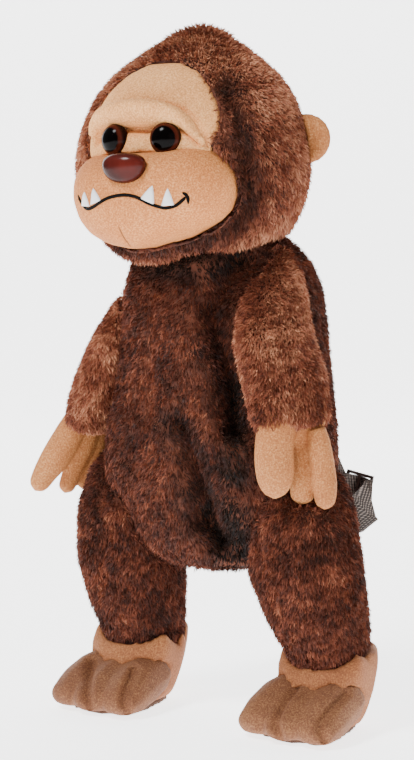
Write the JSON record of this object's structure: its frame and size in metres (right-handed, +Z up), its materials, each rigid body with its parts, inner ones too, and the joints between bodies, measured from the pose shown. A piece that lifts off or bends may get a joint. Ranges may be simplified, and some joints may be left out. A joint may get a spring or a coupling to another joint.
{
  "type": "plush animal backpack",
  "caption": "Standing plush ape whose hollow furry torso is a zipped bag, with webbing shoulder straps.",
  "frame": {"origin": "middle of the footprint of the whole figure, on the floor that it stands on", "axes": "+Z up, -Y the way the figure faces, +X towards the figure's own left"},
  "size_m": [0.2396, 0.2088, 0.465],
  "materials": {
    "fur": "long-pile brown fur cloth",
    "face": "short-pile tan plush",
    "skin": "short-pile tan plush, a little darker",
    "toe": "short-pile brown plush",
    "sole": "dark brown cloth",
    "webbing": "dark brown woven webbing",
    "hardware": "dark moulded plastic",
    "nose": "polished dark brown",
    "eye": "polished brown and black",
    "stitching": "black satin stitching",
    "fang": "white satin stitching"
  },
  "bodies": {
    "root": {"bag_shell": "fur", "bag_zip": "webbing", "zip_slider": "hardware", "zip_pull": "hardware", "head": "fur", "face_panel": "face", "muzzle": "face", "nose": "nose", "eye_left": "eye", "eye_right": "eye", "brow": "face", "mouth_line": "stitching", "fang_1": "fang", "fang_2": "fang", "fang_3": "fang", "fang_4": "fang", "ear_left": "skin", "arm_left": "fur", "hand_left": "skin", "leg_left": "fur", "foot_left": "skin", "toe_cap_left": "toe", "sole_left": "sole", "strap_left": "webbing", "adjuster_left": "hardware", "ear_right": "skin", "arm_right": "fur", "hand_right": "skin", "leg_right": "fur", "foot_right": "skin", "toe_cap_right": "toe", "sole_right": "sole", "strap_right": "webbing", "adjuster_right": "hardware"}
  },
  "joints": []
}
